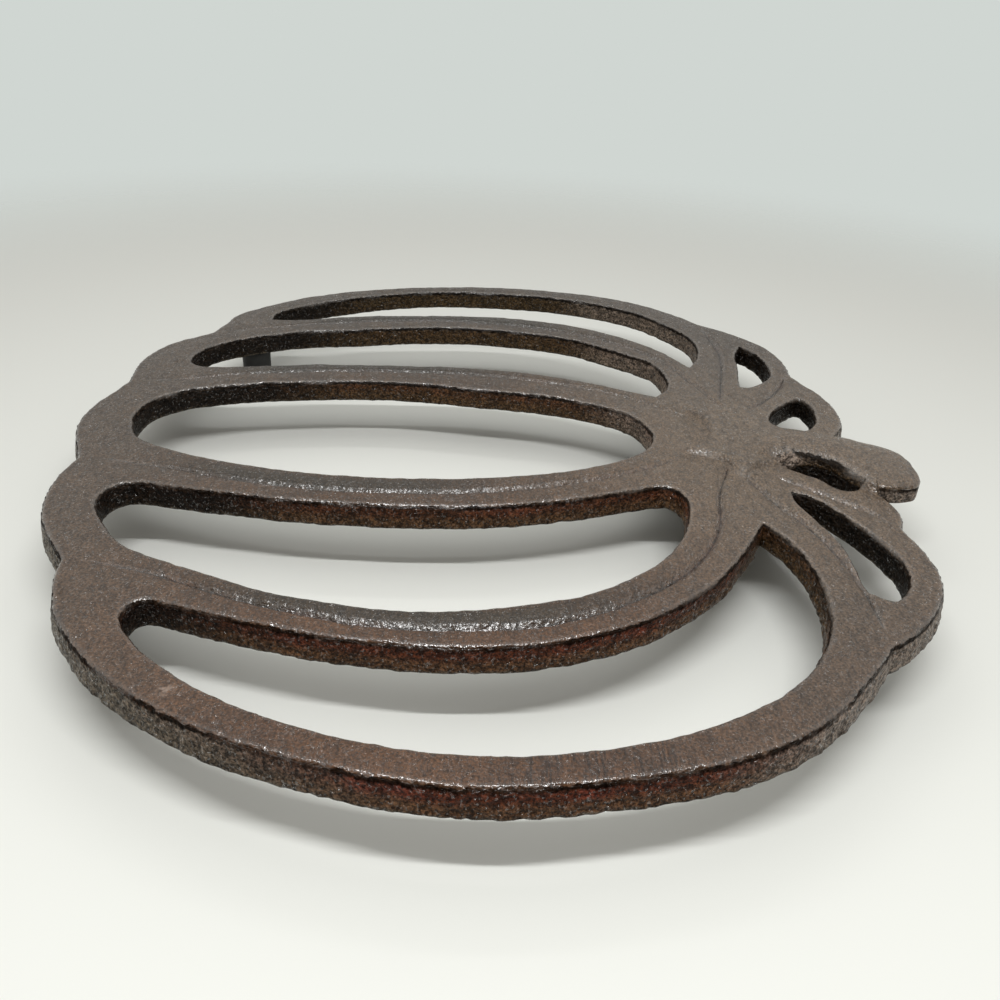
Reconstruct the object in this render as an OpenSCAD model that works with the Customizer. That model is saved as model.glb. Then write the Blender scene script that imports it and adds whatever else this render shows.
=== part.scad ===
// A pumpkin shaped trivet: one open iron casting on four push-on rubber feet.
// Millimetres, +Z up. The stem points to +Y and the widest way across is X.
// The origin is under the middle of the whole outline, on the table.

/* [Plate] */
// full width across the two outer lobes
body_w = 208; // [170:1:250]
// depth of the lobed body, from the front lobes to the shoulders beside the stem
body_l = 170; // [150:1:210]
// thickness of the cast plate
plate_t = 5.2; // [4:0.1:9]
// width of the seam line that parts two lobes, at the top face
seam_w = 2.1; // [1:0.1:2.6]
// depth of the seam line below the top face
seam_depth = 0.7; // [0.3:0.05:1.2]
// thickness of the fin at the parting line of the mould, round the lower edge
flash_t = 0.9; // [0.5:0.1:1.5]
// how far the fin stands out from the wall
flash_w = 0.9; // [0.4:0.1:1.2]
// height of the fin above the underside
flash_z = 0.2; // [0.1:0.1:0.6]

/* [Stem] */
// how far the crest of the stem stands above the plate
stem_rise = 2.3; // [1.6:0.1:5]
// how much lower the crowned top is at the sides of the stem than at its crest
stem_crown = 1.3; // [0.5:0.1:1.5]
// how far the underside of the stem lies above the underside of the plate
stem_lift = 2.9; // [1:0.1:3.5]
// how far the leaf star at the foot of the stem stands above the plate
calyx_rise = 1; // [0.4:0.1:2]

/* [Feet] */
// free height from the table to the underside of the plate
foot_h = 10.5; // [8:0.5:20]
// diameter of a rubber cap where it meets the plate
cap_d = 7.6; // [7:0.1:9]
// diameter of a rubber cap where it stands on the table
cap_foot_d = 7.2; // [6.6:0.1:9]
// thickness of the rubber below the peg
cap_floor = 2; // [1.2:0.1:4]
// bevel round the foot of a rubber cap
cap_bevel = 0.6; // [0.3:0.1:1.2]
// diameter of the cast peg inside a cap
peg_d = 4.6; // [3:0.1:5]
// bevel at the tip of the cast peg
peg_bevel = 0.5; // [0.2:0.1:1]

/* [Clearances] */
// room all round between a peg and the bore of its cap
bore_gap = 0.1; // [0.05:0.05:0.3]
// room between the tip of a peg and the floor of the bore
tip_gap = 0.3; // [0.1:0.1:1]

/* [Hidden] */
$fn = 64;

// one overrun serves every cut
over = 1;
// a seam line is cut twice: full width part way down, then narrower to its depth
seam_cut_shares = [[1, 0.5], [0.45, 1]];
// straight lengths between two nodes of an edge curve, and of a seam line
edge_steps = 4;
seam_steps = 3;

half_w = body_w / 2;
half_l = body_l / 2;
cap_top_r = cap_d / 2;
cap_foot_r = cap_foot_d / 2;
peg_r = peg_d / 2;
peg_len = foot_h - cap_floor - tip_gap;
bore_r = peg_r + bore_gap;
stem_top = plate_t + stem_rise;

// Colours of the two materials
iron_col = [0.24, 0.17, 0.14];
rubber_col = [0.06, 0.06, 0.06];

// Edge curves of the body. Each point is a share of the half width and of the
// half depth, and a curve runs smoothly through the points of one row. Two rows
// meet at a corner: a notch between two lobes, or the sharp end of an opening.
outline_shares = [
    // front lobe
    [[-0.18, -0.93], [-0.125, -0.945], [-0.06, -0.965], [0.02, -0.97],
     [0.085, -0.955], [0.145, -0.925], [0.195, -0.9]],
    // front lobe on the near side
    [[0.195, -0.9], [0.26, -0.91], [0.325, -0.905], [0.405, -0.88], [0.47, -0.835], [0.54, -0.775]],
    // outer lobe on the near side
    [[0.54, -0.775], [0.605, -0.76], [0.69, -0.715], [0.8, -0.6], [0.895, -0.435], [0.96, -0.24],
     [1, -0.005], [0.99, 0.2], [0.95, 0.425], [0.885, 0.58], [0.8, 0.69], [0.72, 0.775]],
    // back lobes on the near side
    [[0.72, 0.775], [0.685, 0.835], [0.635, 0.895], [0.575, 0.945], [0.51, 0.97], [0.44, 0.97], [0.38, 0.96]],
    [[0.38, 0.96], [0.335, 0.98], [0.29, 0.98], [0.24, 0.965]],
    // straight across under the stem
    [[0.24, 0.965], [0, 0.96]],
    // back lobes on the far side
    [[0, 0.96], [-0.06, 1.01], [-0.145, 1.03], [-0.23, 1.02], [-0.3, 0.99], [-0.35, 0.975]],
    [[-0.35, 0.975], [-0.44, 0.985], [-0.53, 0.97], [-0.595, 0.93], [-0.67, 0.85], [-0.715, 0.79]],
    // outer lobe on the far side
    [[-0.715, 0.79], [-0.805, 0.71], [-0.885, 0.61], [-0.95, 0.46], [-0.995, 0.21], [-0.99, -0.07],
     [-0.94, -0.325], [-0.86, -0.53], [-0.755, -0.68], [-0.67, -0.76], [-0.585, -0.785], [-0.515, -0.805]],
    // front lobe on the far side
    [[-0.515, -0.805], [-0.48, -0.845], [-0.435, -0.895], [-0.375, -0.93], [-0.31, -0.945],
     [-0.24, -0.94], [-0.18, -0.93]]
];

// The five long openings between the ribs, from the near side to the far side
slot_near_outer_shares = [
    [[0.37, 0.655], [0.44, 0.695], [0.535, 0.71], [0.635, 0.695], [0.73, 0.645], [0.81, 0.56],
     [0.875, 0.435], [0.92, 0.29], [0.945, 0.105], [0.94, -0.06], [0.905, -0.235], [0.845, -0.4],
     [0.77, -0.525], [0.715, -0.585], [0.675, -0.605], [0.645, -0.58], [0.655, -0.525], [0.69, -0.39],
     [0.725, -0.22], [0.74, -0.045], [0.735, 0.105], [0.7, 0.255], [0.645, 0.38], [0.56, 0.5],
     [0.46, 0.59], [0.37, 0.655]]
];
slot_near_inner_shares = [
    [[0.31, -0.78], [0.365, -0.785], [0.43, -0.74], [0.5, -0.665], [0.565, -0.505], [0.625, -0.32],
     [0.655, -0.105], [0.64, 0.08], [0.595, 0.255], [0.515, 0.385], [0.43, 0.46], [0.335, 0.5],
     [0.27, 0.5], [0.245, 0.46], [0.265, 0.38], [0.305, 0.23], [0.335, 0.07], [0.345, -0.14],
     [0.335, -0.365], [0.315, -0.53], [0.295, -0.66], [0.285, -0.735]]
];
slot_middle_shares = [
    [[-0.03, -0.845], [-0.11, -0.805], [-0.17, -0.68], [-0.21, -0.47], [-0.225, -0.21],
     [-0.2, 0.025], [-0.165, 0.255], [-0.095, 0.425], [0.01, 0.48], [0.105, 0.43], [0.18, 0.28],
     [0.225, 0.08], [0.24, -0.155], [0.225, -0.39], [0.18, -0.61], [0.115, -0.775], [0.05, -0.83]]
];
slot_far_inner_shares = [
    [[-0.19, 0.53], [-0.245, 0.575], [-0.325, 0.585], [-0.41, 0.555], [-0.49, 0.445], [-0.56, 0.33],
     [-0.6, 0.175], [-0.62, 0], [-0.61, -0.175], [-0.575, -0.365], [-0.55, -0.525], [-0.495, -0.665],
     [-0.435, -0.76], [-0.365, -0.805], [-0.31, -0.8], [-0.285, -0.755], [-0.295, -0.635],
     [-0.32, -0.445], [-0.33, -0.21], [-0.33, -0.01], [-0.31, 0.165], [-0.27, 0.33], [-0.225, 0.44],
     [-0.19, 0.53]]
];
slot_far_outer_shares = [
    [[-0.385, 0.675], [-0.455, 0.715], [-0.54, 0.735], [-0.625, 0.72], [-0.71, 0.665], [-0.795, 0.59],
     [-0.87, 0.46], [-0.92, 0.295], [-0.94, 0.095], [-0.935, -0.105], [-0.9, -0.27], [-0.835, -0.435],
     [-0.76, -0.565], [-0.69, -0.64], [-0.635, -0.645]],
    [[-0.635, -0.645], [-0.64, -0.54], [-0.68, -0.4], [-0.705, -0.21], [-0.72, 0], [-0.71, 0.175],
     [-0.665, 0.355], [-0.595, 0.49], [-0.5, 0.6], [-0.385, 0.675]]
];

// The four small eyes in the back lobes, two on each side of the stem
eye_near_outer_shares = [
    [[0.25, 0.76], [0.275, 0.805], [0.32, 0.84], [0.385, 0.875], [0.45, 0.9], [0.51, 0.905],
     [0.565, 0.88], [0.6, 0.835], [0.575, 0.8], [0.51, 0.8], [0.435, 0.8], [0.36, 0.78], [0.3, 0.76],
     [0.25, 0.76]]
];
eye_near_inner_shares = [
    [[0.125, 0.78], [0.12, 0.835], [0.14, 0.895], [0.17, 0.925], [0.205, 0.94], [0.235, 0.92],
     [0.235, 0.88], [0.2, 0.85], [0.165, 0.81]]
];
eye_far_inner_shares = [
    [[-0.205, 0.945], [-0.165, 0.965], [-0.1, 0.955], [-0.05, 0.925], [-0.025, 0.88],
     [-0.045, 0.835], [-0.075, 0.82], [-0.12, 0.84], [-0.17, 0.89]]
];
eye_far_outer_shares = [
    [[-0.55, 0.88], [-0.505, 0.91], [-0.435, 0.925], [-0.355, 0.915], [-0.305, 0.875],
     [-0.27, 0.825], [-0.265, 0.795]],
    [[-0.265, 0.795], [-0.325, 0.81], [-0.405, 0.83], [-0.48, 0.845], [-0.55, 0.88]]
];

// The leaning stem and the star of leaf points that it grows out of
stem_shares = [
    [[-0.03, 0.77], [-0.01, 0.82], [0.005, 0.87], [0.02, 0.925], [0.035, 0.975], [0.055, 1.01],
     [0.07, 1.045], [0.095, 1.075], [0.13, 1.09], [0.175, 1.085], [0.215, 1.07], [0.245, 1.045],
     [0.26, 1.01], [0.26, 0.975], [0.24, 0.945], [0.195, 0.92], [0.15, 0.89], [0.125, 0.84],
     [0.115, 0.77], [0.105, 0.69], [0.05, 0.65], [-0.01, 0.69]]
];
calyx_shares = [
    [[-0.185, 0.76], [-0.13, 0.705], [-0.105, 0.65], [-0.105, 0.595]],
    [[-0.105, 0.595], [-0.06, 0.625], [0.01, 0.63], [0.06, 0.595], [0.1, 0.54]],
    [[0.1, 0.54], [0.115, 0.605], [0.15, 0.645], [0.195, 0.665]],
    [[0.195, 0.665], [0.16, 0.705], [0.145, 0.765], [0.13, 0.825]],
    [[0.13, 0.825], [-0.02, 0.825]],
    [[-0.02, 0.825], [-0.085, 0.785], [-0.185, 0.76]]
];
// The line that the crest of the stem follows, from its foot to its cut end
crest_shares = [[0.035, 0.68], [0.155, 1.07]];

// The seam lines on the ribs and webs, each from the rim to the leaf star
seam_shares = [
    [[-0.515, -0.775], [-0.56, -0.66], [-0.61, -0.505], [-0.655, -0.295], [-0.675, -0.06],
     [-0.66, 0.14], [-0.615, 0.33], [-0.535, 0.48], [-0.42, 0.6], [-0.27, 0.66], [-0.16, 0.7]],
    [[-0.18, -0.9], [-0.21, -0.77], [-0.255, -0.61], [-0.285, -0.39], [-0.295, -0.14],
     [-0.285, 0.07], [-0.255, 0.245], [-0.205, 0.4], [-0.135, 0.52], [-0.09, 0.585]],
    [[0.195, -0.87], [0.225, -0.675], [0.265, -0.5], [0.29, -0.28], [0.29, -0.095],
     [0.275, 0.07], [0.24, 0.235], [0.19, 0.39], [0.125, 0.52]],
    [[0.54, -0.745], [0.58, -0.575], [0.635, -0.405], [0.685, -0.195], [0.695, 0],
     [0.675, 0.17], [0.61, 0.33], [0.515, 0.465], [0.395, 0.55], [0.26, 0.59], [0.165, 0.635]],
    [[-0.69, 0.785], [-0.615, 0.795], [-0.51, 0.8], [-0.405, 0.78], [-0.3, 0.75], [-0.19, 0.715]],
    [[0.695, 0.775], [0.575, 0.79], [0.47, 0.78], [0.38, 0.755], [0.295, 0.71], [0.19, 0.67]],
    [[-0.34, 0.955], [-0.275, 0.915], [-0.2, 0.85], [-0.14, 0.785]],
    [[0.37, 0.94], [0.315, 0.91], [0.255, 0.835], [0.2, 0.755]]
];

// Where the four feet stand: front far, front near, back far, back near
foot_shares = [[-0.535, -0.68], [0.535, -0.715], [-0.62, 0.805], [0.625, 0.76]];

// A share point in millimetres
function spot(s) = [s[0] * half_w, s[1] * half_l];

// One point of the curve between b and c, with a and d the points beside them
function bend(a, b, c, d, t) =
    (b * 2 + (c - a) * t + (a * 2 - b * 5 + c * 4 - d) * t * t
     + (b * 3 - a - c * 3 + d) * t * t * t) / 2;

// A closed curve through all points of one row
function ring(p, k, steps) = [
    for (i = [0 : k - 1], j = [0 : steps - 1])
        bend(p[(i + k - 1) % k], p[i], p[(i + 1) % k], p[(i + 2) % k], j / steps)
];

// An open curve through the points of one row, without its last point
function open_run(p, k, steps) = [
    for (i = [0 : k - 2], j = [0 : steps - 1])
        bend(i == 0 ? p[0] * 2 - p[1] : p[i - 1], p[i], p[i + 1],
             i == k - 2 ? p[k - 1] * 2 - p[k - 2] : p[i + 2], j / steps)
];

function spots(row) = [for (s = row) spot(s)];

// A closed edge: a smooth ring when its only row is left open, else its rows
// one after the other with a corner between them
function edge(rows) =
    len(rows) == 1 && rows[0][0] != rows[0][len(rows[0]) - 1]
        ? ring(spots(rows[0]), len(rows[0]), edge_steps)
        : [for (r = rows) each open_run(spots(r), len(r), edge_steps)];

function seam_line(row) = concat(open_run(spots(row), len(row), seam_steps), [spot(row[len(row) - 1])]);

// The way across a closed edge at its point i, to the left of its run
function across(p, i) =
    let (k = len(p), run = p[(i + 1) % k] - p[(i + k - 1) % k])
    [-run[1], run[0]] / norm(run);

// One for an edge that runs anticlockwise, minus one for a clockwise edge
function way(p) = sign([for (i = [0 : len(p) - 1]) cross(p[i], p[(i + 1) % len(p)])] * [for (q = p) 1]);

// A closed edge, grown all round
function grown(p, by) = [for (i = [0 : len(p) - 1]) p[i] - across(p, i) * by * way(p)];

outline = edge(outline_shares);
stem_edge = edge(stem_shares);
both = concat(grown(outline, flash_w), stem_edge);
x_mid = (max([for (p = both) p[0]]) + min([for (p = both) p[0]])) / 2;
y_mid = (max([for (p = both) p[1]]) + min([for (p = both) p[1]])) / 2;

// The crest of the stem: where it starts, its length and its heading
crest_a = spot(crest_shares[0]);
crest_b = spot(crest_shares[1]);
crest_run = crest_b - crest_a;
crest_len = norm(crest_run);
crest_turn = atan2(crest_run[1], crest_run[0]);
// widest way from the crest to a side of the stem, and the crown radius for it
crest_side = max([for (p = stem_edge) abs(cross(p - crest_a, crest_run)) / crest_len]);
crown_r = (crest_side * crest_side + stem_crown * stem_crown) / (2 * stem_crown);

// Moves drawings from the middle of the body to the middle of the whole outline
module centred() {
    translate([-x_mid, -y_mid, foot_h])
        children();
}

opening_edges = [
    edge(slot_near_outer_shares), edge(slot_near_inner_shares), edge(slot_middle_shares),
    edge(slot_far_inner_shares), edge(slot_far_outer_shares), edge(eye_near_outer_shares),
    edge(eye_near_inner_shares), edge(eye_far_inner_shares), edge(eye_far_outer_shares)
];

// The lobed plate seen from above, less its nine openings
module plate_plan() {
    difference() {
        polygon(outline);
        for (e = opening_edges)
            polygon(e);
    }
}

// The flat plate with its seam lines
module plate() {
    difference() {
        linear_extrude(plate_t)
            plate_plan();
        for (row = seam_shares)
            seam(seam_line(row));
    }
}

// The thin fin that the joint of the mould leaves round the lower edge
module parting_line() {
    translate([0, 0, flash_z])
        linear_extrude(flash_t)
            difference() {
                polygon(grown(outline, flash_w));
                polygon(grown(outline, -flash_w));
            }
}

// Which way is left of a line of points at its point i
function left_at(p, i) =
    let (run = p[i + 1] - p[i - 1])
    [-run[1], run[0]] / norm(run);

// A band along a line of points, pointed at both ends
function band(p, w) = concat(
    [p[0]],
    [for (i = [1 : len(p) - 2]) p[i] + left_at(p, i) * w / 2],
    [p[len(p) - 1]],
    [for (i = [len(p) - 2 : -1 : 1]) p[i] - left_at(p, i) * w / 2]
);

// A seam line sunk into the top face
module seam(p) {
    for (c = seam_cut_shares)
        translate([0, 0, plate_t - seam_depth * c[1]])
            linear_extrude(seam_depth * c[1] + over)
                polygon(band(p, seam_w * c[0]));
}

// The stem: its outline, crowned by a lying cylinder. It runs through the plate
// and stands out behind it, where its underside is higher than the plate's.
module stem() {
    intersection() {
        translate([0, 0, stem_lift])
            linear_extrude(stem_top)
                polygon(stem_edge);
        translate([crest_a[0], crest_a[1], stem_top - crown_r])
            rotate([0, 0, crest_turn])
                rotate([0, 90, 0])
                    translate([0, 0, -crest_len])
                        cylinder(r = crown_r, h = 3 * crest_len, $fn = 180);
    }
}

// The star of leaf points round the foot of the stem
module calyx() {
    translate([0, 0, plate_t / 2])
        linear_extrude(plate_t / 2 + calyx_rise)
            polygon(edge(calyx_shares));
}

// A cast peg under the plate, with a bevelled tip
module peg() {
    translate([0, 0, -peg_len])
        cylinder(r1 = peg_r - peg_bevel, r2 = peg_r, h = peg_bevel);
    translate([0, 0, peg_bevel - peg_len])
        cylinder(r = peg_r, h = peg_len - peg_bevel + plate_t / 2);
}

module casting() {
    color(iron_col)
        centred() {
            plate();
            parting_line();
            stem();
            calyx();
            for (s = foot_shares)
                translate(spot(s))
                    peg();
        }
}

// A rubber cap, pushed up over a peg until it meets the plate
module cap(i) {
    color(rubber_col)
        centred()
            translate([spot(foot_shares[i])[0], spot(foot_shares[i])[1], -foot_h])
                difference() {
                    union() {
                        cylinder(r1 = cap_foot_r - cap_bevel, r2 = cap_foot_r, h = cap_bevel);
                        translate([0, 0, cap_bevel])
                            cylinder(r1 = cap_foot_r, r2 = cap_top_r, h = foot_h - cap_bevel);
                    }
                    translate([0, 0, cap_floor])
                        cylinder(r = bore_r, h = foot_h);
                }
}

module cap_front_far() {
    cap(0);
}

module cap_front_near() {
    cap(1);
}

module cap_back_far() {
    cap(2);
}

module cap_back_near() {
    cap(3);
}

casting();
cap_front_far();
cap_front_near();
cap_back_far();
cap_back_near();
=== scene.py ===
# %% [markdown]
# # A cast iron pumpkin trivet
# The real object is one sand casting: a flat lobed plate with openings between its ribs, a
# leaning stem that grows out of a star of leaves, and four short pegs. A black rubber cap is
# pushed on each peg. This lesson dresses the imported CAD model, which stays the frame that every
# piece is fitted to. All lengths below are in millimetres until a mesh is written in metres.

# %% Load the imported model
import math
import bpy
import numpy as np
from mathutils import Matrix, Vector, noise
from mathutils.geometry import delaunay_2d_cdt


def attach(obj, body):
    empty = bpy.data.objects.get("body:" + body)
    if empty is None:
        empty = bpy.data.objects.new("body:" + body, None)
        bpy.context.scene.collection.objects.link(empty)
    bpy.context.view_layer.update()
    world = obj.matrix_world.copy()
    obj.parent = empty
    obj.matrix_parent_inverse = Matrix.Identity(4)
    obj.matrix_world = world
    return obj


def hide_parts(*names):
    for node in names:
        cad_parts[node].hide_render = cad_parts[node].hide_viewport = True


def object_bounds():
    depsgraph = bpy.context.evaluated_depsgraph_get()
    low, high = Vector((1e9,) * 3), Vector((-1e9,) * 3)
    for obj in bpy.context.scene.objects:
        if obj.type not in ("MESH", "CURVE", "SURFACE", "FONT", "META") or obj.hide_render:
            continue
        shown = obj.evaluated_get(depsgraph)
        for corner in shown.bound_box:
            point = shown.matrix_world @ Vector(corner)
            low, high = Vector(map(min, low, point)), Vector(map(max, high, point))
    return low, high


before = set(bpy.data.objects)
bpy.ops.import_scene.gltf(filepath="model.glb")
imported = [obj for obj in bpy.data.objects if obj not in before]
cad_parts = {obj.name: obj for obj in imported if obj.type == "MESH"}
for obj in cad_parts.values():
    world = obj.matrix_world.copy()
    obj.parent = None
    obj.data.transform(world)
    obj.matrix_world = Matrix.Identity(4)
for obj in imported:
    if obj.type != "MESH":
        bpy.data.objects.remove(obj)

cad_box = [list(map(float, corner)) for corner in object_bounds()]
print("CAD box", [[round(v * 1000, 2) for v in corner] for corner in cad_box])

# %% [markdown]
# ## Sizes
# The plan of the casting is kept as shares of its half width and half depth, as a pattern maker
# keeps a drawing that is enlarged to size. The curves run smoothly through the points of a row,
# and two rows meet at a corner.

# %% Sizes in millimetres
MM = 0.001
HALF_W, HALF_L = 104.0, 85.0        # half width and half depth of the lobed body
PLATE_T = 5.2                       # thickness of the plate
FOOT_H = 10.5                       # table to underside
TOP_Z = FOOT_H + PLATE_T            # height of the plate's top face
EDGE_ROUND, STEM_EDGE = 0.7, 0.35   # rounding of the upper edges, and of the stem's free end
WORN_ROUND = 1.5                    # how much rounder the stem's near edge is worn
SLOPE_ROUND, SLOPE_REACH = 2.2, 3.6  # the soft slope at the inner end of the near eye
FLARE_OUT, FLARE_IN = 0.7, 0.35     # how far outer and inner walls spread from top to bottom
STEM_RISE, CALYX_RISE = 2.2, 0.95   # heights above the plate
STEM_LIFT = 2.9                     # underside of the stem above the underside of the plate
FIN = 0.9                           # how far the CAD model's parting line stands out
SEAM_W, SEAM_DEPTH = 2.2, 0.95      # the groove that parts two lobes
VALLEY_DEPTH = 1.7                  # the valley from the leaves into the eye beside the stem
HUMP = 0.16                         # how much higher a rib is in its middle
LOWEST = -4.0                       # no point of the top face lies further below the plate's top
SWAY = 0.15                         # how far the edges stray from the drawing
LARGEST_EYE = 45                    # a shorter opening counts as a small eye
STEP, SEAM_STEP = 0.65, 0.8         # spacing of points along the edges and the seams
GRID = 1.15                         # spacing of points on the open faces
print("plate from", FOOT_H, "to", TOP_Z, "mm above the table")

# %% [markdown]
# ## The plan
# A curve could be drawn by hand in Blender, but a table of points keeps it the same as the
# drawing that the CAD model follows, point for point.

# %% Tables of the plan
OUTLINE = [
    [(-0.18, -0.93), (-0.125, -0.945), (-0.06, -0.965), (0.02, -0.97), (0.085, -0.955),
     (0.145, -0.925), (0.195, -0.9)],
    [(0.195, -0.9), (0.26, -0.91), (0.325, -0.905), (0.405, -0.88), (0.47, -0.835), (0.54, -0.775)],
    [(0.54, -0.775), (0.605, -0.76), (0.69, -0.715), (0.8, -0.6), (0.895, -0.435), (0.96, -0.24),
     (1, -0.005), (0.99, 0.2), (0.95, 0.425), (0.885, 0.58), (0.8, 0.69), (0.72, 0.775)],
    [(0.72, 0.775), (0.685, 0.835), (0.635, 0.895), (0.575, 0.945), (0.51, 0.97), (0.44, 0.97),
     (0.38, 0.96)],
    [(0.38, 0.96), (0.335, 0.98), (0.29, 0.98), (0.24, 0.965)],
    [(0.24, 0.965), (0, 0.96)],
    [(0, 0.96), (-0.06, 1.01), (-0.145, 1.03), (-0.23, 1.02), (-0.3, 0.99), (-0.35, 0.975)],
    [(-0.35, 0.975), (-0.44, 0.985), (-0.53, 0.97), (-0.595, 0.93), (-0.67, 0.85), (-0.715, 0.79)],
    [(-0.715, 0.79), (-0.805, 0.71), (-0.885, 0.61), (-0.95, 0.46), (-0.995, 0.21),
     (-0.99, -0.07), (-0.94, -0.325), (-0.86, -0.53), (-0.755, -0.68), (-0.67, -0.76),
     (-0.585, -0.785), (-0.515, -0.805)],
    [(-0.515, -0.805), (-0.48, -0.845), (-0.435, -0.895), (-0.375, -0.93), (-0.31, -0.945),
     (-0.24, -0.94), (-0.18, -0.93)],
]
SLOT_NEAR_OUTER = [
    [(0.37, 0.655), (0.44, 0.695), (0.535, 0.71), (0.635, 0.695), (0.73, 0.645), (0.81, 0.56),
     (0.875, 0.435), (0.92, 0.29), (0.945, 0.105), (0.94, -0.06), (0.905, -0.235), (0.845, -0.4),
     (0.77, -0.525), (0.715, -0.585), (0.675, -0.605), (0.645, -0.58), (0.655, -0.525),
     (0.69, -0.39), (0.725, -0.22), (0.74, -0.045), (0.735, 0.105), (0.7, 0.255), (0.645, 0.38),
     (0.56, 0.5), (0.46, 0.59), (0.37, 0.655)],
]
SLOT_NEAR_INNER = [
    [(0.31, -0.78), (0.365, -0.785), (0.43, -0.74), (0.5, -0.665), (0.565, -0.505),
     (0.625, -0.32), (0.655, -0.105), (0.64, 0.08), (0.595, 0.255), (0.515, 0.385), (0.43, 0.46),
     (0.335, 0.5), (0.27, 0.5), (0.245, 0.46), (0.265, 0.38), (0.305, 0.23), (0.335, 0.07),
     (0.345, -0.14), (0.335, -0.365), (0.315, -0.53), (0.295, -0.66), (0.285, -0.735)],
]
SLOT_MIDDLE = [
    [(-0.03, -0.845), (-0.11, -0.805), (-0.17, -0.68), (-0.21, -0.47), (-0.225, -0.21),
     (-0.2, 0.025), (-0.165, 0.255), (-0.095, 0.425), (0.01, 0.48), (0.105, 0.43), (0.18, 0.28),
     (0.225, 0.08), (0.24, -0.155), (0.225, -0.39), (0.18, -0.61), (0.115, -0.775), (0.05, -0.83)],
]
SLOT_FAR_INNER = [
    [(-0.19, 0.53), (-0.245, 0.575), (-0.325, 0.585), (-0.41, 0.555), (-0.49, 0.445),
     (-0.56, 0.33), (-0.6, 0.175), (-0.62, 0), (-0.61, -0.175), (-0.575, -0.365), (-0.55, -0.525),
     (-0.495, -0.665), (-0.435, -0.76), (-0.365, -0.805), (-0.31, -0.8), (-0.285, -0.755),
     (-0.295, -0.635), (-0.32, -0.445), (-0.33, -0.21), (-0.33, -0.01), (-0.31, 0.165),
     (-0.27, 0.33), (-0.225, 0.44), (-0.19, 0.53)],
]
SLOT_FAR_OUTER = [
    [(-0.385, 0.675), (-0.455, 0.715), (-0.54, 0.735), (-0.625, 0.72), (-0.71, 0.665),
     (-0.795, 0.59), (-0.87, 0.46), (-0.92, 0.295), (-0.94, 0.095), (-0.935, -0.105),
     (-0.9, -0.27), (-0.835, -0.435), (-0.76, -0.565), (-0.69, -0.64), (-0.635, -0.645)],
    [(-0.635, -0.645), (-0.64, -0.54), (-0.68, -0.4), (-0.705, -0.21), (-0.72, 0), (-0.71, 0.175),
     (-0.665, 0.355), (-0.595, 0.49), (-0.5, 0.6), (-0.385, 0.675)],
]
EYE_NEAR_OUTER = [
    [(0.25, 0.76), (0.275, 0.805), (0.32, 0.84), (0.385, 0.875), (0.45, 0.9), (0.51, 0.905),
     (0.565, 0.88), (0.6, 0.835), (0.575, 0.8), (0.51, 0.8), (0.435, 0.8), (0.36, 0.78),
     (0.3, 0.76), (0.25, 0.76)],
]
EYE_NEAR_INNER = [
    [(0.125, 0.78), (0.12, 0.835), (0.14, 0.895), (0.17, 0.925), (0.205, 0.94), (0.235, 0.92),
     (0.235, 0.88), (0.2, 0.85), (0.165, 0.81)],
]
EYE_FAR_INNER = [
    [(-0.205, 0.945), (-0.165, 0.965), (-0.1, 0.955), (-0.05, 0.925), (-0.025, 0.88),
     (-0.045, 0.835), (-0.075, 0.82), (-0.12, 0.84), (-0.17, 0.89)],
]
EYE_FAR_OUTER = [
    [(-0.55, 0.88), (-0.505, 0.91), (-0.435, 0.925), (-0.355, 0.915), (-0.305, 0.875),
     (-0.27, 0.825), (-0.265, 0.795)],
    [(-0.265, 0.795), (-0.325, 0.81), (-0.405, 0.83), (-0.48, 0.845), (-0.55, 0.88)],
]
STEM = [
    [(-0.03, 0.77), (-0.01, 0.82), (0.005, 0.87), (0.02, 0.925), (0.035, 0.975), (0.055, 1.01),
     (0.07, 1.045), (0.095, 1.075), (0.13, 1.09), (0.175, 1.085), (0.215, 1.07), (0.245, 1.045),
     (0.26, 1.01), (0.26, 0.975), (0.24, 0.945), (0.195, 0.92), (0.15, 0.89), (0.125, 0.84),
     (0.115, 0.77), (0.105, 0.69), (0.05, 0.65), (-0.01, 0.69)],
]
CALYX = [
    [(-0.185, 0.76), (-0.13, 0.705), (-0.105, 0.65), (-0.105, 0.595)],
    [(-0.105, 0.595), (-0.06, 0.625), (0.01, 0.63), (0.06, 0.595), (0.1, 0.54)],
    [(0.1, 0.54), (0.115, 0.605), (0.15, 0.645), (0.195, 0.665)],
    [(0.195, 0.665), (0.16, 0.705), (0.145, 0.765), (0.13, 0.825)],
    [(0.13, 0.825), (-0.02, 0.825)],
    [(-0.02, 0.825), (-0.085, 0.785), (-0.185, 0.76)],
]
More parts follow.
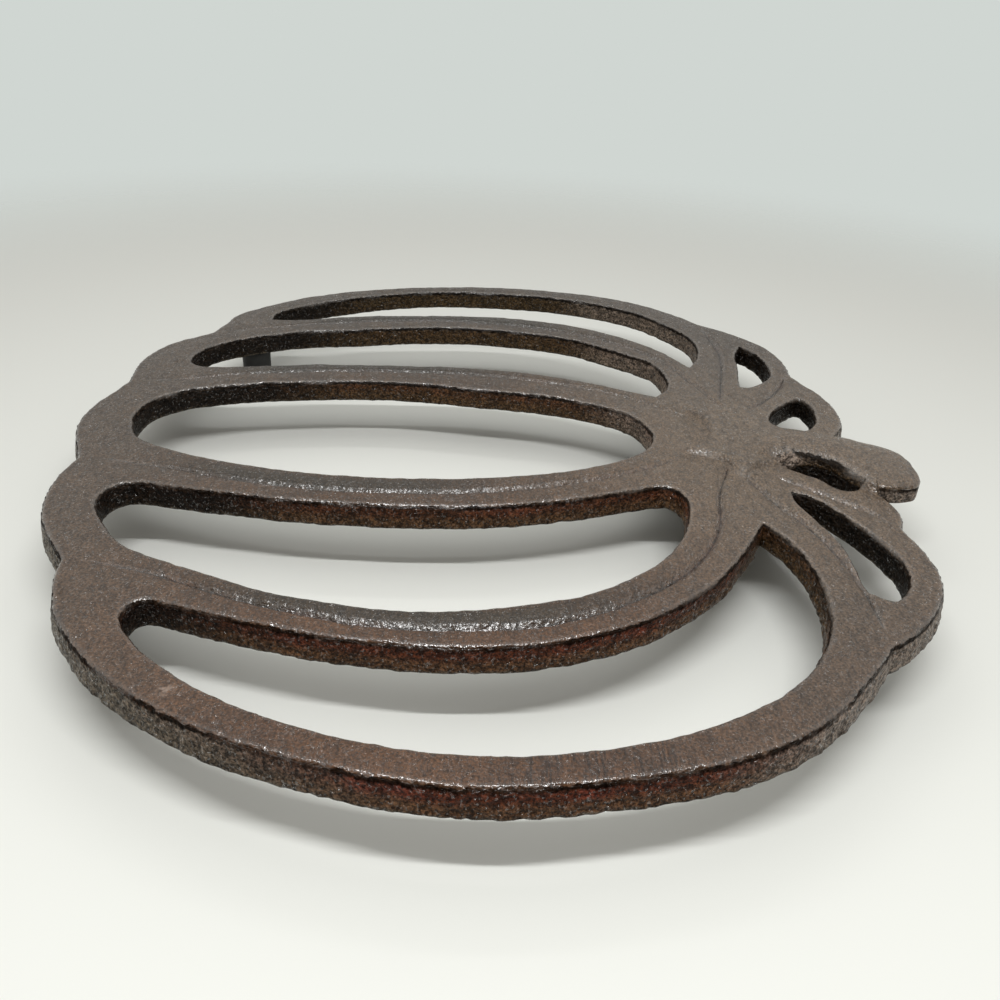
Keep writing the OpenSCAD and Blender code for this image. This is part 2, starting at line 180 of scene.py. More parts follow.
SEAM = [
    [(-0.515, -0.775), (-0.56, -0.66), (-0.61, -0.505), (-0.655, -0.295), (-0.675, -0.06),
     (-0.66, 0.14), (-0.615, 0.33), (-0.535, 0.48), (-0.42, 0.6), (-0.27, 0.66), (-0.16, 0.7)],
    [(-0.18, -0.9), (-0.21, -0.77), (-0.255, -0.61), (-0.285, -0.39), (-0.295, -0.14),
     (-0.285, 0.07), (-0.255, 0.245), (-0.205, 0.4), (-0.135, 0.52), (-0.09, 0.585)],
    [(0.195, -0.87), (0.225, -0.675), (0.265, -0.5), (0.29, -0.28), (0.29, -0.095), (0.275, 0.07),
     (0.24, 0.235), (0.19, 0.39), (0.125, 0.52)],
    [(0.54, -0.745), (0.58, -0.575), (0.635, -0.405), (0.685, -0.195), (0.695, 0), (0.675, 0.17),
     (0.61, 0.33), (0.515, 0.465), (0.395, 0.55), (0.26, 0.59), (0.165, 0.635)],
    [(-0.69, 0.785), (-0.615, 0.795), (-0.51, 0.8), (-0.405, 0.78), (-0.3, 0.75), (-0.19, 0.715)],
    [(0.695, 0.775), (0.575, 0.79), (0.47, 0.78), (0.38, 0.755), (0.295, 0.71), (0.19, 0.67)],
    [(-0.34, 0.955), (-0.275, 0.915), (-0.2, 0.85), (-0.14, 0.785)],
    [(0.37, 0.94), (0.315, 0.91), (0.255, 0.835), (0.2, 0.755)],
]
CREST = [(0.035, 0.68), (0.155, 1.07)]
# the free end of the stem has a squarer corner than the drawing, and its near side stands a
# little back
STEM_END = [(0.095, 1.078), (0.13, 1.09), (0.175, 1.089), (0.212, 1.081), (0.237, 1.064),
            (0.249, 1.035), (0.252, 1.0), (0.247, 0.97), (0.23, 0.942)]
STEM_SHOWN = [STEM[0][:7] + STEM_END + STEM[0][15:]]
VALLEY = [(0.078, 0.705), (0.152, 0.82)]
EYE_SLOPE = (12.6, 62.1)            # millimetres from the middle of the CAD model's box
# small marks of casting and use: place, reach and depth in millimetres, and a burr has a depth
# below zero
MARKS = [(65.5, -62.6, 0.8, 0.4), (-31.6, -71.6, 0.7, 0.35), (56.6, 78.4, 0.7, 0.35),
         (-21.6, 63.6, 0.6, 0.3), (-6.1, 50.5, 1.5, 0.3), (103.6, 0.2, 1.0, 0.45),
         (96.8, 17.4, 0.7, -0.35), (41.0, -61.0, 0.6, 0.3), (84.0, 42.0, 0.6, 0.3),
         (12.0, -80.5, 0.7, 0.3), (-60.0, 30.0, 0.7, 0.3), (70.3, 61.0, 0.6, 0.35)]
FEET = [(-0.535, -0.68), (0.535, -0.715), (-0.62, 0.805), (0.625, 0.76)]
OPENINGS = [SLOT_NEAR_OUTER, SLOT_NEAR_INNER, SLOT_MIDDLE, SLOT_FAR_INNER, SLOT_FAR_OUTER,
            EYE_NEAR_OUTER, EYE_NEAR_INNER, EYE_FAR_INNER, EYE_FAR_OUTER]
print("openings", len(OPENINGS), "seams", len(SEAM), "marks", len(MARKS))


# %% Curves through the points
def spot(share):
    """A place in millimetres from a pair of shares."""
    return np.array([share[0] * HALF_W, share[1] * HALF_L])


def bend(a, b, c, d, t):
    """A point between b and c on the smooth curve through a, b, c and d."""
    return (b * 2 + (c - a) * t + (a * 2 - b * 5 + c * 4 - d) * t * t
            + (b * 3 - a - c * 3 + d) * t ** 3) / 2


def open_run(row, steps=24):
    """A smooth curve through a row of points, both ends kept."""
    p = [spot(share) for share in row]
    p = [p[0] * 2 - p[1]] + p + [p[-1] * 2 - p[-2]]
    pts = [bend(p[i - 1], p[i], p[i + 1], p[i + 2], j / steps)
           for i in range(1, len(p) - 2) for j in range(steps)]
    return np.array(pts + [p[-2]])


def closed_run(row, steps=24):
    """A smooth loop through a row of points."""
    p = [spot(share) for share in row]
    n = len(p)
    return np.array([bend(p[i - 1], p[i], p[(i + 1) % n], p[(i + 2) % n], j / steps)
                     for i in range(n) for j in range(steps)])


def spaced(pts, step):
    """Points an even step apart along a run, both ends kept."""
    lengths = np.r_[0, np.cumsum(np.linalg.norm(np.diff(pts, axis=0), axis=1))]
    n = max(2, int(round(lengths[-1] / step)))
    at = np.linspace(0, lengths[-1], n + 1)
    return np.stack([np.interp(at, lengths, pts[:, k]) for k in (0, 1)], 1)


def closed_edge(rows):
    """An edge in even steps, from one row without a corner or from rows that meet at corners."""
    if len(rows) == 1 and rows[0][0] != rows[0][-1]:
        return spaced(np.vstack([closed_run(rows[0]), spot(rows[0][0])]), STEP)[:-1]
    return np.vstack([spaced(open_run(row), STEP)[:-1] for row in rows])


outline = closed_edge(OUTLINE)
openings = [closed_edge(rows) for rows in OPENINGS]
stem_edge = closed_edge(STEM_SHOWN)
calyx_edge = closed_edge(CALYX)
seams = [spaced(open_run(row), SEAM_STEP) for row in SEAM]
crest, feet, valley = (np.array([spot(share) for share in row]) for row in (CREST, FEET, VALLEY))
marks_at = np.array([mark[:2] for mark in MARKS])
print("points along the edges", len(outline) + sum(map(len, openings)))


# %% Centre the plan
def beside(pts, offset, closed=True):
    """Points a given way to the left of a line."""
    if closed:
        run = np.roll(pts, -1, 0) - np.roll(pts, 1, 0)
    else:
        run = np.gradient(pts, axis=0)
    left = np.stack([-run[:, 1], run[:, 0]], 1) / np.linalg.norm(run, axis=1)[:, None]
    return pts + left * offset


def cad_points(rows):
    """An edge in the coarser steps of the CAD model."""
    if len(rows) > 1:
        return np.vstack([open_run(row, 4)[:-1] for row in rows])
    return closed_run(rows[0], 4)


# the CAD model is centred on the box of its fin and stem, so the plan moves by the same amount
cad_edge = np.vstack([beside(cad_points(OUTLINE), -FIN), cad_points(STEM)])
MIDDLE = (cad_edge.max(0) + cad_edge.min(0)) / 2
for pts in [outline, stem_edge, calyx_edge, crest, feet, valley, marks_at, *openings, *seams]:
    pts -= MIDDLE
print("middle", MIDDLE.round(3))

# %% [markdown]
# ## The casting as one surface
# The plate could be an extruded curve with a bevel, but its upper edges are rounded, its walls
# spread a little towards the underside, and the stem and leaves rise softly out of it. So the
# plan is filled with a fine net of triangles, and the height of each point is worked out from
# its distance to the nearest edge, seam or leaf. Rings of points close to the edges keep the
# rounding crisp.


# %% Distances in the plan
def segments(pts, closed=True):
    """The starts and ends of the short lines that join points."""
    return (pts, np.roll(pts, -1, 0)) if closed else (pts[:-1], pts[1:])


def all_segments(lines, closed=True):
    return tuple(np.vstack([segments(line, closed)[k] for line in lines]) for k in (0, 1))


def nearest(points, starts, ends, chunk=1500):
    """The gap from each point to the nearest of many short lines, and which line that is."""
    gap, which = np.empty(len(points)), np.empty(len(points), int)
    run = ends - starts
    square = np.maximum((run ** 2).sum(1), 1e-12)
    for i in range(0, len(points), chunk):
        q = points[i:i + chunk, None] - starts
        t = np.clip((q * run).sum(2) / square, 0, 1)
        far = ((q - run * t[..., None]) ** 2).sum(2)
        which[i:i + chunk] = far.argmin(1)
        gap[i:i + chunk] = np.sqrt(far.min(1))
    return gap, which


def distance(points, starts, ends):
    return nearest(points, starts, ends)[0]


def inside(points, loop, chunk=4000):
    """Which points lie inside a loop, by counting the edges to one side of each."""
    a, b = segments(loop)
    out = np.empty(len(points), bool)
    for i in range(0, len(points), chunk):
        x, y = points[i:i + chunk, 0:1], points[i:i + chunk, 1:2]
        cross = (a[:, 1] > y) != (b[:, 1] > y)
        with np.errstate(divide="ignore", invalid="ignore"):
            at = a[:, 0] + (y - a[:, 1]) / (b[:, 1] - a[:, 1]) * (b[:, 0] - a[:, 0])
        out[i:i + chunk] = (cross & (x < at)).sum(1) % 2 == 1
    return out


def in_iron(points):
    body = inside(points, outline)
    for loop in openings:
        body &= ~inside(points, loop)
    return body | inside(points, stem_edge)


loops = [outline, *openings, stem_edge]
edge_a, edge_b = all_segments(loops)
seam_a, seam_b = all_segments(seams, False)
print("short lines along edges", len(edge_a), "and seams", len(seam_a))

# %% Rings of points along edges, seams, leaves and marks
# rings lie closest together where the rounding bends most
extra = []


def keep_ring(ring, clear):
    """Keeps the points of a ring that stay clear of every edge."""
    extra.append(ring[distance(ring, edge_a, edge_b) > clear])


for ring_at in (0.05, 0.17, 0.34, 0.58, 1.0, 1.5):
    for loop in loops:
        for side in (1, -1):
            ring = beside(loop, side * ring_at)
            keep_ring(ring[::2] if ring_at > 1.2 else ring, ring_at * 0.93)
for line in seams:
    for at in (0.0, 0.25, -0.25, 0.5, -0.5, 0.85, -0.85, 1.25, -1.25):
        keep_ring(beside(line, at, False), 0.9)
for at in (0.0, 0.3, -0.3, 0.8, -0.8):
    keep_ring(beside(calyx_edge, at), 0.5)
angles = np.linspace(0, 2 * np.pi, 10, endpoint=False)
circle = np.stack([np.cos(angles), np.sin(angles)], 1)
for at, mark in zip(marks_at, MARKS):
    for share in (0.0, 0.4, 0.8, 1.3):
        keep_ring(at + circle * share * mark[2], 0.3)
extra = np.vstack(extra)


def thinned(pts, gap):
    """Drops points that come closer together than a gap."""
    cells = {}
    for i, p in enumerate(pts):
        column, row = int(p[0] // gap), int(p[1] // gap)
        near = [j for a in (-1, 0, 1) for b in (-1, 0, 1)
                for j in cells.get((column + a, row + b), ())]
        if all((pts[j][0] - p[0]) ** 2 + (pts[j][1] - p[1]) ** 2 > gap * gap for j in near):
            cells.setdefault((column, row), []).append(i)
    return pts[sorted(i for cell in cells.values() for i in cell)]


extra = thinned(extra[in_iron(extra)], 0.17)
print("ring points", len(extra))

# %% Fill the open faces with points
ROW_SHARE = 0.866                   # rows this share of the spacing apart give equal triangles
lo, hi = outline.min(0) - 2, np.vstack([outline, stem_edge]).max(0) + 2
grid = []
for k, y in enumerate(np.arange(lo[1], hi[1], GRID * ROW_SHARE)):
    x = np.arange(lo[0] + (k % 2) * GRID / 2, hi[0], GRID)
    grid.append(np.stack([x, np.full(len(x), y)], 1))
grid = np.vstack(grid)
grid = grid[in_iron(grid)]
keep = (distance(grid, edge_a, edge_b) > 1.9) & (distance(grid, seam_a, seam_b) > 1.8)
keep &= distance(grid, *segments(calyx_edge)) > 1.2
grid = grid[keep]
print("grid points", len(grid))


# %% Join the points into triangles
def loop_links(rows):
    """Pairs of neighbouring point numbers round each loop, numbered on from loop to loop."""
    links, start = [], 0
    for row in rows:
        n = len(row)
        links += [(start + i, start + (i + 1) % n) for i in range(n)]
        start += n
    return links


def turning(pts, corners):
    """Twice the area of each triangle, above zero where its corners run anticlockwise."""
    a, b, c = (pts[corners[:, k]] for k in range(3))
    return np.cross(b - a, c - a)


cloud = [Vector(p) for p in np.vstack([*loops, extra, grid])]
verts, _, tris, _, _, _ = delaunay_2d_cdt(cloud, loop_links(loops), [], 0, 1e-4, False)
plan = np.array([[v.x, v.y] for v in verts])
tris = np.array([t for t in tris if len(t) == 3])
tris = tris[in_iron(plan[tris].mean(1))]
turn = turning(plan, tris)
tris, turn = tris[np.abs(turn) > 1e-7], turn[np.abs(turn) > 1e-7]
tris[turn < 0] = tris[turn < 0][:, ::-1]
used = np.unique(tris)
renumber = np.full(len(plan), -1)
renumber[used] = np.arange(len(used))
plan, tris = plan[used], renumber[tris]
print("top face", len(plan), "points", len(tris), "triangles")

# %% Find the border of the filled plan
half = {}
for a, b, c in tris:
    for u, v in ((a, b), (b, c), (c, a)):
        half[(int(u), int(v))] = True
border = {u: v for (u, v) in half if (v, u) not in half}
rings, left_over = [], dict(border)
while left_over:
    first, following = left_over.popitem()
    ring = [first]
    while following != first:
        ring.append(following)
        following = left_over.pop(following)
    rings.append(np.array(ring))
rings.sort(key=len, reverse=True)
print("borders", [len(ring) for ring in rings])

# %% [markdown]
# ## Heights of the top face
# The edge rounding is a quarter circle in the distance from the border. A seam is a soft vee.
# The stem is crowned across and fades into the leaves at its foot. Slow noise adds the unevenness
# that damp sand leaves on iron, with a fixed pattern so that each run gives the same casting.


# %% Distances of each point
def smooth(low, high, x):
    """0 up to low and 1 from high on, with a soft step between them."""
    t = np.clip((x - low) / (high - low), 0, 1)
    return t * t * (3 - 2 * t)


def depth_in(loop):
    """How far each point lies inside a loop, below zero outside it."""
    return distance(plan, *segments(loop)) * np.where(inside(plan, loop), 1, -1)


to_edge = distance(plan, *all_segments([plan[ring] for ring in rings]))
to_seam, seam_no = nearest(plan, seam_a, seam_b)
to_calyx, to_stem = depth_in(calyx_edge), depth_in(stem_edge)
held = inside(plan, outline)
crest_run = crest[1] - crest[0]
along = ((plan - crest[0]) @ crest_run) / np.linalg.norm(crest_run)
print("points on the free end of the stem", int((~held).sum()))


# %% Raise the stem, the leaves and the ribs
def rough(points, size, seed, octaves=3):
    """Slow noise from -1 to 1 over points, with lumps of a given size."""
    return np.array([noise.fractal(Vector((p[0] / size + seed, p[1] / size - seed, p[2] / size)),
                                   1.0, 2.0, octaves) for p in points])


flat3 = np.c_[plan, np.zeros(len(plan))]
lumps = rough(flat3, 9.0, 3.1) * 0.12 + rough(flat3, 2.6, 7.7, 2) * 0.07 * smooth(0.4, 1.8, to_seam)
leaf = CALYX_RISE * smooth(-0.5, 0.7, to_calyx)
crown = np.sqrt(np.clip(1 - (np.clip(1 - to_stem / 8.0, 0, 1)) ** 2, 0, 1))
foot_of_stem = np.where(held, smooth(-0.7, 0.4, to_stem), to_stem > -0.01)
stalk = (0.6 * foot_of_stem + 0.4 * np.where(to_stem > 0, crown, 0)) * STEM_RISE
stalk *= 0.3 + 0.7 * smooth(-3, 14, along)
raised = np.maximum(leaf, stalk)
hump = HUMP * smooth(0.6, 5.0, np.minimum(to_edge, to_seam)) - HUMP
print("stem", stalk.max().round(2), "and leaves", leaf.max().round(2), "mm above the plate")

# %% Cut the seams
# a seam is wide in the middle of its rib and runs out to a fine line at both ends
seam_share = np.concatenate([np.linspace(0, 1, len(line) - 1) for line in seams])[seam_no]
seam_swell = (0.28 + 0.72 * np.clip(1.5 * np.sin(np.pi * seam_share), 0, 1) ** 0.8
              + 0.22 * smooth(0.8, 0.95, seam_share))
in_seam = np.clip(1 - to_seam / (SEAM_W * seam_swell / 2), 0, 1)
seam_cut = SEAM_DEPTH * (0.1 + 0.9 * seam_swell) * in_seam
seam_cut *= smooth(0.0, 0.16, seam_share)
for depth_inside in (to_calyx, to_stem):
    seam_cut *= 1 - smooth(-0.6, 0.4, depth_inside)
print("deepest seam", seam_cut.max().round(2))

# %% Sink the valley and the small marks
# the valley runs down from the leaves into the eye beside the stem
valley_run = valley[1] - valley[0]
down_it = np.clip((plan - valley[0]) @ valley_run / (valley_run ** 2).sum(), 0, 1)
beside_it = np.linalg.norm(plan - valley[0] - down_it[:, None] * valley_run, axis=1)
dip = VALLEY_DEPTH * smooth(0, 1.0, down_it) * (1 - smooth(0.2, 2.3, beside_it))
for at, (_, _, reach, depth) in zip(marks_at, MARKS):
    dip += depth * np.exp(-((plan - at) ** 2).sum(1) / reach ** 2 * 1.5)
print("dips from", dip.min().round(2), "to", dip.max().round(2))

# %% Height of each point
# the stem's edge over the near eye is worn rounder than the other edges, and the inner end of
# that eye runs out of the leaf as a soft slope
near_side = np.cross(crest_run, plan - crest[0]) < 0
edge_r = np.where(held, EDGE_ROUND + WORN_ROUND * smooth(-0.5, 0.8, to_stem) * near_side, STEM_EDGE)
slope = np.exp(-((plan - EYE_SLOPE) ** 2).sum(1) / SLOPE_REACH ** 2)
edge_r += SLOPE_ROUND * slope * held
into_edge = np.clip(edge_r - to_edge, 0, edge_r)
rounding = edge_r - np.sqrt(np.maximum(edge_r ** 2 - into_edge ** 2, 0))
lump_share = np.where(raised > 0.05, 0.5, 1.0)
top = raised - rounding - seam_cut + hump - dip + lump_share * np.minimum(lumps, 0.12)
top = np.minimum(top, np.maximum(raised, 0) - rounding * 0.999 - np.minimum(dip, 0) * 0.5)
top = np.maximum(top, LOWEST)
print("top from", top.min().round(2), "to", top.max().round(2))

# %% Let the edges sway
# damp sand moves a little, so no edge runs quite true, but none leaves the CAD model's box
sway = np.stack([rough(flat3, 2.3, seed, 2) for seed in (21.0, 33.0)], 1) * SWAY
plan_drawn = plan
room = np.array(cad_box)[:, :2] / MM
plan = np.clip(plan + sway, room[0] + 0.05, room[1] - 0.05)
print("largest sway", np.abs(plan - plan_drawn).max().round(2))

# %% [markdown]
# ## Walls and underside
# The walls of a sand casting spread towards the parting line so that the pattern lifts out, and
# iron creeps a little into the joint of the mould, so the lower edge is ragged. A bevelled
# extrusion would leave them too clean, so each border is copied downwards in rings, a little
# further out each time, with more noise near the bottom.


# %% Shape of the walls, and where shade and sheen are painted on them
def underside(p):
    """Height under the plate's top face, which steps up under the free end of the stem."""
    beyond = np.where(inside(p, outline), 0, distance(p, *segments(outline)))
    return -PLATE_T + STEM_LIFT * smooth(0.1, 0.9, beyond)


def outward(base):
    """The way out of the iron at each point of a border, evened over its neighbours."""
    run = np.roll(base, -1, 0) - np.roll(base, 1, 0)
    run = run + np.roll(run, 1, 0) + np.roll(run, -1, 0)
    length = np.maximum(np.linalg.norm(run, axis=1), 1e-9)
    return np.stack([run[:, 1], -run[:, 0]], 1) / length[:, None]


def wall_shift(here, level, flare, free):
    """How far a ring of the wall stands out; the free end of the stem hardly spreads."""
    spread = flare * (1 - 0.9 * free)
    ragged = rough(here, 3.0, 11.3) * 0.22 + rough(here, 1.25, 5.9, 2) * (0.12 + 0.05 * level)
    shift = spread * level ** 0.8 + ragged * smooth(0, 0.2, level)
    shift = np.clip(shift, -0.45, spread + 0.18)
    return np.where(free > 0, np.minimum(shift, -0.02), shift)


def wall_shade_and_sheen(base, is_outer):
    """1 in the small eyes and at the front slot ends, where shade is painted, below 0 where walls
    are painted paler for the light they reflect.
    """
    x, y = base.T
    if is_outer:
        return -0.8 * np.maximum(smooth(26, 50, y), smooth(-5, -50, y))
    if np.ptp(base, axis=0).max() < LARGEST_EYE:
        return np.ones(len(base))
    return smooth(-30, -54, y) - 0.6 * smooth(20, 36, y) * smooth(22, 10, x)


print("underside of the stem up to", underside(stem_edge).max().round(2))

# %% Build the walls
LEVELS = np.array([0.09, 0.2, 0.33, 0.46, 0.59, 0.72, 0.84, 0.94, 1.0])
points = [np.c_[plan, TOP_Z + top]]
faces = [tris]
wall_mark = [rounding / PLATE_T]
# the soft slope at the inner end of the near eye counts as painted sheen, so no painted dark band
# lies on it
shade_and_sheen_mark = [-np.minimum(1.8 * slope, 1)]
count = len(plan)
bottom_loops, bottom_ids = [], []
for number, ring in enumerate(rings):
    base, above = plan[ring], ring
    out, shade_and_sheen = outward(base), wall_shade_and_sheen(base, number == 0)
    flare = FLARE_OUT if number == 0 else FLARE_IN
    start_z, end_z = top[ring], underside(base)
    free = (end_z > 0.5 - PLATE_T).astype(float)
    for level in LEVELS:
        z = start_z + (end_z - start_z) * level
        here = np.c_[base + out * flare * level, z]
        shift = wall_shift(here, level, flare, free)
        if level == LEVELS[-1]:
            shift -= 0.12
            z = z + np.clip(rough(here, 2.1, 2.2, 2), -0.6, 1) * 0.1 + 0.06
        placed = np.c_[base + out * shift[:, None], TOP_Z + z]
        ids = count + np.arange(len(ring))
        count += len(ring)
        points.append(placed)
        wall_mark.append((start_z + edge_r[ring] - z) / PLATE_T)
        shade_and_sheen_mark.append(shade_and_sheen)
        next_above, next_ids = np.roll(above, -1), np.roll(ids, -1)
        faces.append(np.stack([above, ids, next_ids], 1))
        faces.append(np.stack([above, next_ids, next_above], 1))
        above = ids
    bottom_loops.append(placed[:, :2])
    bottom_ids.append(above)
print("points with the walls", count)

# %% Fill the underside
flat = np.vstack(bottom_loops)
flat_ids = np.concatenate(bottom_ids)
coarse = grid[::7]
coarse = coarse[distance(coarse, edge_a, edge_b) > 2.5]
steps = np.vstack([beside(outline, -at) for at in (0.1, 0.35, 0.6, 0.9, 2.5)])
under_stem = inside(steps, stem_edge) & (distance(steps, *segments(stem_edge)) > 0.7)
cloud = [Vector(p) for p in np.vstack([flat, coarse, steps[under_stem]])]
verts, _, under, origins, _, _ = delaunay_2d_cdt(cloud, loop_links(bottom_loops), [], 0, 1e-5, True)
low_plan = np.array([[v.x, v.y] for v in verts])
under = np.array([t for t in under if len(t) == 3])
loops_round = sum(inside(low_plan[under].mean(1), loop).astype(int) for loop in bottom_loops)
under = under[loops_round % 2 == 1]
turn = turning(low_plan, under)
under[turn > 0] = under[turn > 0][:, ::-1]
print("underside", len(under), "triangles")

# %% Join the underside to the walls
index = np.full(len(low_plan), -1)
new_pts = []
for i, origin in enumerate(origins):
    if origin and origin[0] < len(flat):
        index[i] = flat_ids[origin[0]]
    else:
        index[i] = count + len(new_pts)
        new_pts.append((*low_plan[i], FOOT_H))
new_pts = np.array(new_pts)
new_pts[:, 2] = TOP_Z + underside(new_pts[:, :2])
new_pts[:, 2] += 0.05 + np.clip(rough(new_pts, 6.0, 1.4), -0.5, 1) * 0.08
points.append(new_pts)
count += len(new_pts)
faces.append(index[under])
print("casting points", count, "triangles", sum(map(len, faces)))

# %% [markdown]
# ## The pegs
# The pegs are turned forms. A cylinder would do for what shows, since they are hidden in their
# caps, but a part that is taken apart needs their rounded tips, so a profile is spun round each
# foot's middle.


# %% Spin a profile
def spun(profile, turns=40):
    """A closed turned body from (radius, height) pairs that start and end on the axis."""
    inner = [p for p in profile if p[0] > 0]
    ang = np.linspace(0, 2 * np.pi, turns, endpoint=False)
    pts = [(r * math.cos(a), r * math.sin(a), z) for r, z in inner for a in ang]
    pts += [(0, 0, profile[0][1]), (0, 0, profile[-1][1])]
    fcs = []
    for k in range(len(inner) - 1):
        for i in range(turns):
            a, b = k * turns + i, k * turns + (i + 1) % turns
            fcs += [(a, b, b + turns), (a, b + turns, a + turns)]
    low, high = len(pts) - 2, len(pts) - 1
    last = (len(inner) - 1) * turns
    for i in range(turns):
        j = (i + 1) % turns
        fcs += [(low, j, i), (high, last + i, last + j)]
    return np.array(pts, float), np.array(fcs)


PEG_R, PEG_TIP_Z, PEG_ROOT_Z = 2.3, 2.3, FOOT_H + 1.2
peg_profile = [(0, PEG_TIP_Z), (1.8, PEG_TIP_Z), (2.1, PEG_TIP_Z + 0.15), (PEG_R, PEG_TIP_Z + 0.5),
               (PEG_R, PEG_ROOT_Z), (0, PEG_ROOT_Z)]
peg_pts, peg_faces = spun(peg_profile)
for foot in feet:
    points.append(peg_pts + [foot[0], foot[1], 0])
    faces.append(peg_faces + count)
    count += len(peg_pts)
print("each peg", len(peg_faces), "triangles")


# %% Make the casting's mesh
def mesh_piece(name, pts, fcs, material=None):
    """An object from points in millimetres and faces, shaded smooth."""
    mesh = bpy.data.meshes.new(name)
    mesh.from_pydata((np.asarray(pts) * MM).tolist(), [], np.asarray(fcs).tolist())
    mesh.validate()
    mesh.update()
    mesh.polygons.foreach_set("use_smooth", [True] * len(mesh.polygons))
    obj = bpy.data.objects.new(name, mesh)
    bpy.context.scene.collection.objects.link(obj)
    if material:
        mesh.materials.append(material)
    return obj


casting = mesh_piece("casting_skin", np.vstack(points), np.vstack(faces))
casting.data.set_sharp_from_angle(angle=math.radians(62))
print("casting", len(casting.data.vertices), "points", len(casting.data.polygons), "faces")

# %% [markdown]
# ## Marks for the finish
# On the real iron the coat follows the form: it is thick in seams and polished on edges, and the
# finish paints shade dark inside small openings. Image maps could say where, but a number stored
# at each point does it without pictures and stays with the mesh.


# %% Mark walls, painted shade and sheen, seams, far sides of seams and rims
def mark_points(name, values, rest=0.0):
    """Stores a number at each point of the casting; the underside and pegs get the rest."""
    full = np.full(count, rest)
    full[:len(values)] = values
    attribute = casting.data.attributes.new(name, "FLOAT", "POINT")
    attribute.data.foreach_set("value", full)


mark_points("wall", np.concatenate(wall_mark), 1.0)
mark_points("shade_and_sheen", np.concatenate(shade_and_sheen_mark))
mark_points("seam", in_seam * (seam_cut > 0.02))
# the top on the far side of each long seam is painted darker
LONG_SEAMS = 4
seam_starts = np.cumsum([0] + [len(line) - 1 for line in seams])
run, away = (seam_b - seam_a)[seam_no], plan_drawn - seam_a[seam_no]
beyond_seam = run[:, 0] * away[:, 1] - run[:, 1] * away[:, 0] > 0
beyond_seam &= seam_no < seam_starts[LONG_SEAMS]
beyond_seam_mark = beyond_seam * (1 - smooth(3.2, 5.5, to_seam)) * smooth(0.08, 0.25, seam_share)
mark_points("beyond_seam", beyond_seam_mark * (1 - smooth(0.5, 0.72, seam_share)))
# the steep near edges of the leaves are polished bright in two places
GLEAMS, GLEAM_REACH = ((12.0, 45.5), (19.5, 52.0)), 3.2
edge_mark = np.clip(1.5 - to_edge / edge_r, 0, 1)
for at in GLEAMS:
    gleam = np.exp(-((plan_drawn - at) ** 2).sum(1) / GLEAM_REACH ** 2)
    gleam *= 1 - smooth(0.6, 1.4, np.abs(to_calyx))
    edge_mark = np.maximum(edge_mark, gleam)
mark_points("rim", edge_mark)
print("marks", [attribute.name for attribute in casting.data.attributes])

# %% [markdown]
# ## Materials
# The iron carries a thin brown lacquer over sandy skin, so it is dark, half glossy and full of
# tiny highlights. It could be one plain shader with one noise, but the near walls are red, partly
# from warm light painted into them, painted shade makes the small eyes black and the top is
# streaked. So patterns and marks are mixed in nodes, with grain at its true size.


# %% Colour and node helpers
def colour(text):
    """The linear values of a written colour."""
    parts = [int(text[i:i + 2], 16) / 255 for i in (1, 3, 5)]
    linear = [c / 12.92 if c <= 0.04045 else ((c + 0.055) / 1.055) ** 2.4 for c in parts]
    return (*linear, 1.0)


def add(tree, kind, links=None, **values):
    """A node with its values set, and with a link or a constant at each named input."""
    node = tree.nodes.new(kind)
    for key, value in values.items():
        setattr(node, key, value)
    for key, value in (links or {}).items():
        socket = node.inputs[key]
        if hasattr(value, "is_output"):
            tree.links.new(value, socket)
        else:
            socket.default_value = value
    return node


def new_material(name):
    material = bpy.data.materials.new(name)
    material.use_nodes = True
    tree = material.node_tree
    tree.nodes.clear()
    return material, tree


print("mid grey in linear light", round(colour("#808080")[0], 3))


# %% Short ways to the nodes of a finish
def between(value, low, high, start=0.0, end=1.0):
    return add(t, "ShaderNodeMapRange", {"Value": value, "From Min": low, "From Max": high,
                                         "To Min": start, "To Max": end}).outputs["Result"]


def sum_of(kind, *values):
    return add(t, "ShaderNodeMath", dict(enumerate(values)), operation=kind).outputs["Value"]


def times(first, *others):
    for value in others:
        first = sum_of("MULTIPLY", first, value)
    return first


def blend(factor, first, second, how="MIX"):
    return add(t, "ShaderNodeMix", {"Factor": factor, "A": first, "B": second},
               data_type="RGBA", blend_type=how).outputs["Result"]


def ramp(factor, *stops):
    """Colours, or shares of light, at places along a factor."""
    node = add(t, "ShaderNodeValToRGB", {"Fac": factor})
    while len(node.color_ramp.elements) < len(stops):
        node.color_ramp.elements.new(0.5)
    for element, (at, col) in zip(node.color_ramp.elements, stops):
        element.position = at
        element.color = colour(col) if isinstance(col, str) else (col, col, col, 1)
    return node.outputs["Color"]


def speckle(vector, scale, detail, roughness=0.5):
    """Soft noise; the scale counts lumps to the metre, so 2500 gives grains of 0.4 mm."""
    return add(t, "ShaderNodeTexNoise", {"Vector": vector, "Scale": scale, "Detail": detail,
                                         "Roughness": roughness}).outputs["Fac"]


def stretched(scale, rotation=(0.0, 0.0, 0.0)):
    return add(t, "ShaderNodeMapping", {"Vector": where, "Rotation": rotation,
                                        "Scale": scale}).outputs["Vector"]


def gap_to(spot_at):
    return add(t, "ShaderNodeVectorMath", {0: where, 1: spot_at},
               operation="DISTANCE").outputs["Value"]


def bumped(height, strength, reach, below=None):
    """The way the skin faces, with a height pressed into it."""
    links = {"Strength": strength, "Distance": reach, "Height": height}
    if below is not None:
        links["Normal"] = below
    return add(t, "ShaderNodeBump", links).outputs["Normal"]


